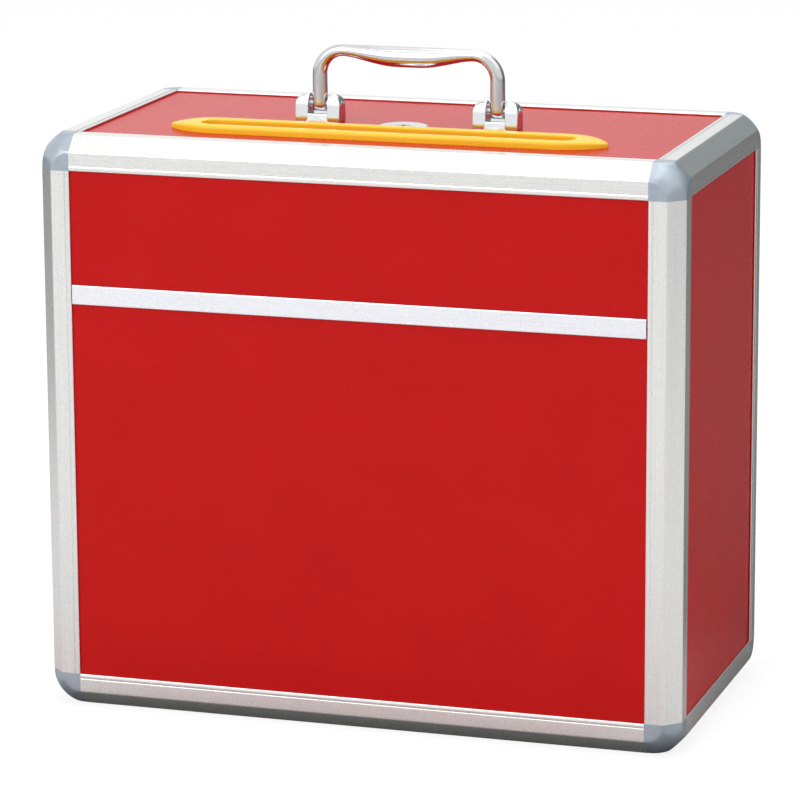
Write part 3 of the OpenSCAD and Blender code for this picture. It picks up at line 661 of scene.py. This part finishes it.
def chrome_plate(name, colour, clearest, dullest):
    """Chrome over polished zinc, whose roughness runs between two values.

    It mirrors the room, the trim and the board, with the slight waviness of hand polishing.
    """
    material, tree, shader = new_material(name, Metallic=1.0)
    buffed = object_noise(tree, buffed_size, detail=2.0)
    handled = object_noise(tree, handled_size, detail=3.0)
    shader.inputs["Base Color"].default_value = linear(colour)
    tree.links.new(varied(tree, handled, clearest, dullest), shader.inputs["Roughness"])
    relief(tree, shader, buffed, 0.5 * mm, 0.25)
    return material


# The handle's chrome is a little dulled by hands, and the other fittings' is bright.
handled_chrome = chrome_plate("handled_chrome", "#D2D3D7", 0.15, 0.22)
chrome = chrome_plate("polished_chrome", "#E2E5E8", 0.08, 0.14)

handle_points = handle_surface()
handle_rows = len(handle_points)
handle_faces = grid_quads(handle_rows, handle_sides + 1).tolist()
handle_faces += [list(range(handle_sides)),
                 list(range(handle_rows * (handle_sides + 1) - 2,
                            (handle_rows - 1) * (handle_sides + 1) - 1, -1))]
new_piece("cast_handle", handle_points + [fittings_x, 0, 0], handle_faces, handled_chrome,
          "handle", ["handle"], smooth_below=60)

# Each bracket is cast in zinc with an ear on either side of the handle's eye, polished and
# chrome plated. The pin's ends are peened over its outer sides, and screws hold it from inside.
board_face = 354.4 * mm
ear_near, ear_far = 5.95 * mm, 14.3 * mm
ear_depth = 7.0 * mm
ear_pivot = 11.0 * mm
ear_shoulder = 7.0 * mm
ear_taper = 0.27
ear_top = ear_pivot + ear_depth
ear_heart = 0.45 * ear_top
bracket_floor = 5.5 * mm
floor_round = 0.7 * mm
floor_lean = 0.8 * mm
floor_into_ear = 1 * mm
pin_end_radius = 2.4 * mm
pin_end_dome = 0.2 * mm
pin_end_into_ear = 0.5 * mm
ear_sharpness = 14
ear_steps = 24


def round_exit(start, radius, away):
    """One over the distance at which a ray in a plane leaves a circle about the origin.

    The distance t solves |start + t away| = radius.
    """
    a = (away ** 2).sum(-1)
    b = (away * start).sum(-1)
    c = (np.asarray(start) ** 2).sum() - radius ** 2
    return a / (np.sqrt(b ** 2 - a * c) - b)


def ear_surface():
    """The right-hand ear, from the distances at which rays from its middle leave its walls.

    From the side it narrows evenly to a half-round top, and from the front it has one rounded
    shoulder.
    """
    middle = np.array([(ear_near + ear_far) / 2, 0, ear_heart])
    half = np.array([(ear_far - ear_near) / 2, ear_depth, ear_top / 2])
    side = np.sin(np.linspace(-np.pi / 2, np.pi / 2, ear_steps))
    u, v = np.meshgrid(side, side, indexing="ij")
    points, faces = [], []
    for turn in range(3):
        for sign in (-1, 1):
            ray = np.roll(np.stack([np.full_like(u, sign), u, v], -1), turn, axis=-1) * half
            ray = ray / np.linalg.norm(ray, axis=-1, keepdims=True)
            x, y, z = np.moveaxis(ray, -1, 0)
            flank = np.abs(y) / ear_depth
            arch = round_exit([0, middle[2] - ear_pivot], ear_depth, ray[..., 1:])
            over = middle[2] + z / np.maximum(flank, 1e-9) > ear_pivot
            from_x, from_z = middle[[0, 2]] - [ear_far - ear_shoulder, ear_top - ear_shoulder]
            shoulder = round_exit([from_x, from_z], ear_shoulder, ray[..., ::2])
            on_shoulder = (from_x + x / shoulder > 0) & (from_z + z / shoulder > 0)
            square = np.maximum(np.maximum(x, 0) / (ear_far - middle[0]),
                                np.maximum(z, 0) / (ear_top - middle[2]))
            out = softest([np.where(over, arch, flank), np.where(on_shoulder, shoulder, square),
                           np.maximum(-x, 0) / (middle[0] - ear_near),
                           np.maximum(-z, 0) / middle[2]], ear_sharpness)
            wall = middle + ray * out[..., None]
            wall[..., 1] *= 1 - ear_taper * wall[..., 2] / ear_top
            faces.append(grid_quads(ear_steps, ear_steps, len(points) * ear_steps ** 2))
            points.append(wall)
    return np.concatenate([p.reshape(-1, 3) for p in points]), np.concatenate(faces).tolist()


def turned(profile, sides=72):
    """Points and faces of a profile of radius and height turned about Z."""
    angle = np.linspace(0, 2 * np.pi, sides + 1)
    radius, height = np.array(profile).T[..., None]
    points = np.stack([radius * np.cos(angle), radius * np.sin(angle), height + 0 * angle], -1)
    return points, grid_quads(len(profile), sides + 1).tolist()


def joined(shells):
    """Several shells as one list of points and one of faces."""
    points, faces = [], []
    for shell_points, shell_faces in shells:
        faces += [[corner + len(points) for corner in face] for face in shell_faces]
        points += np.reshape(shell_points, (-1, 3)).tolist()
    return np.array(points), faces


def bracket_surface():
    """Two ears, the floor between them with its leaning sides, and a domed pin end each side."""
    ear_points, ear_faces = ear_surface()
    round_edge = ([ear_depth - floor_lean - floor_round, bracket_floor - floor_round]
                  + floor_round * on_circle(np.linspace(0, np.pi / 2, 7)[:, None]))
    section = np.concatenate([[[ear_depth, 0]], round_edge, round_edge[::-1] * [-1, 1],
                              [[-ear_depth, 0]]])
    floor_ends = np.stack([np.column_stack([np.full(len(section), x), section])
                           for x in (-ear_near - floor_into_ear, ear_near + floor_into_ear)])
    dome = np.linspace(0, np.pi / 2, 6)
    end_profile = ([(0, -pin_end_into_ear), (pin_end_radius, -pin_end_into_ear)]
                   + [(pin_end_radius * math.cos(a), pin_end_dome * math.sin(a)) for a in dome])
    end_points, end_faces = turned(end_profile, 32)
    end_points = end_points[..., ::-1] + [ear_far, 0, ear_pivot]
    mirror = [-1, 1, 1]
    return joined([(ear_points, ear_faces), (ear_points * mirror, ear_faces),
                   (floor_ends, prism_faces(len(section))),
                   (end_points, end_faces), (end_points * mirror, end_faces)])


bracket_points, bracket_faces = bracket_surface()
for side, word in ((-1, "left"), (1, "right")):
    new_piece(f"cast_handle_bracket_{word}",
              bracket_points + [fittings_x + side * leg_x, 0, board_face], bracket_faces, chrome,
              "case", [f"handle_bracket_{word}"], smooth_below=50)

# The two cam locks are turned and chrome plated. A round face sits on the board, its edge
# rounded and its middle dished, and a threaded barrel goes through the board to a nut. The
# profile's radii and heights are in millimetres.
slot_lock_place = np.array([2, -11, 354.4]) * mm
door_lock_place = np.array([120, 102.4, 178]) * mm
lock_bore = 6.05
lock_foot = -7.7
face_radius, face_height, face_round = 15.5, 1.6, 1.1
barrel_radius, thread_root = 9.5, 9.15
thread_pitch = 1.0
thread_turns = 7


def lock_profile():
    """Radius and height from the bore's foot, over the face and down the threaded barrel."""
    bore = [(lock_bore, lock_foot), (lock_bore, 0.9), (5.25, 0.9), (5.25, 1.3), (5.45, 1.45)]
    face = [(8.4, 1.45), (8.9, 1.5), (9.3, face_height), (12, face_height)]
    edge = [(face_radius - face_round * (1 - math.sin(a)),
             face_height - face_round * (1 - math.cos(a))) for a in np.linspace(0, np.pi / 2, 8)]
    barrel = [(face_radius, 0), (barrel_radius, 0)]
    for down in np.arange(thread_turns) * thread_pitch:
        barrel += [(barrel_radius, -0.4 - down), (thread_root, -0.9 - down)]
    barrel += [(9.4, lock_foot), (lock_bore, lock_foot)]
    return np.array(bore + face + edge + barrel) * mm


lock_points, lock_faces = turned(lock_profile())
new_piece("turned_slot_lock_body", slot_lock_place + lock_points, lock_faces, chrome,
          "case", ["slot_lock_body"])
new_piece("turned_door_lock_body", door_lock_place + lock_points[..., [0, 2, 1]], lock_faces,
          chrome, "door", ["door_lock_body"])

# Pins, plates, screws, lock parts and the hinge wire are bright zinc-plated steel: a bluish
# grey metal, satin, with the soft cloudiness that the plating bath leaves.
bath_cloud_size = 6 * mm
zinc_plate, tree, shader = new_material("bright_zinc_plate", Metallic=1.0)
bath = object_noise(tree, bath_cloud_size, detail=3.0)
tree.links.new(varied(tree, bath, "#AEB4BA", "#C3C8CC"), shader.inputs["Base Color"])
tree.links.new(varied(tree, bath, 0.26, 0.40), shader.inputs["Roughness"])
finish_node(["handle_pin_left", "handle_pin_right", "handle_plate_left", "handle_plate_right",
             "handle_screws", "hinge_wire"]
            + [f"{lock}_lock_{part}" for lock in ("slot", "door")
               for part in ("nut", "plug", "cam", "screw")], zinc_plate)

# The rear door is a board in a mitred channel, hung in a second channel round the opening by a
# riveted piano hinge. The channels and hinge leaves are anodised like the rails.
opening_half = (151.5 * mm, 119.5 * mm)
opening_middle = 178 * mm
mitre_width = 0.25 * mm
mitre_shade = "#4A4A48"


def mitred_channel():
    """Anodised aluminium whose die lines run round a frame and turn at its mitred corners."""
    material, tree, shader = new_material("anodised_channel", Metallic=1.0)
    place = add_node(tree, "ShaderNodeTexCoord").outputs["Object"]
    x, _, z = add_node(tree, "ShaderNodeSeparateXYZ", {0: place}).outputs
    ahead = add_node(tree, "ShaderNodeMath",
                     {0: past_middle(tree, x, 0.0, opening_half[0]),
                      1: past_middle(tree, z, opening_middle, opening_half[1])},
                     operation="SUBTRACT").outputs[0]
    upright = add_node(tree, "ShaderNodeMath", {0: ahead, 1: 0.0},
                       operation="GREATER_THAN").outputs[0]
    lines = add_node(tree, "ShaderNodeMix", {
        "Factor": upright,
        "A": object_noise(tree, die_line_pitch, [die_line_length, 1, 1], detail=3.0),
        "B": object_noise(tree, die_line_pitch, [1, 1, die_line_length], detail=3.0)}).outputs[0]
    seam = add_node(tree, "ShaderNodeMath", {0: ahead}, operation="ABSOLUTE").outputs[0]
    open_face = add_node(tree, "ShaderNodeMapRange",
                         {"Value": seam, "From Max": mitre_width}).outputs["Result"]
    tone = add_node(tree, "ShaderNodeMix",
                    {"Factor": open_face, "A": linear(mitre_shade),
                     "B": varied(tree, lines, "#E2E2E0", "#EDEDEB")}, data_type="RGBA")
    tree.links.new(tone.outputs["Result"], shader.inputs["Base Color"])
    tree.links.new(varied(tree, lines, 0.26, 0.36), shader.inputs["Roughness"])
    relief(tree, shader, lines, 0.02 * mm, 0.3)
    return material


finish_node(["door_surround", "door_edging"], mitred_channel())
finish_node(["hinge_leaf_frame", "hinge_leaf_door"], aluminium[2])

# The hinge's rivets are plain drawn aluminium, cooler in tone than the anodised leaves, and the
# setting tool has scuffed their heads in patches of bright and dull.
scuff_size = 1.1 * mm
rivet_metal, tree, shader = new_material("rivet_aluminium", Metallic=1.0)
scuff = object_noise(tree, scuff_size, detail=3.0)
tree.links.new(varied(tree, scuff, "#BFC1C2", "#D9DADA"), shader.inputs["Base Color"])
tree.links.new(varied(tree, scuff, 0.24, 0.46), shader.inputs["Roughness"])
relief(tree, shader, scuff, 0.03 * mm, 0.4)
finish_node(["hinge_rivets_frame", "hinge_rivets_door"], rivet_metal)
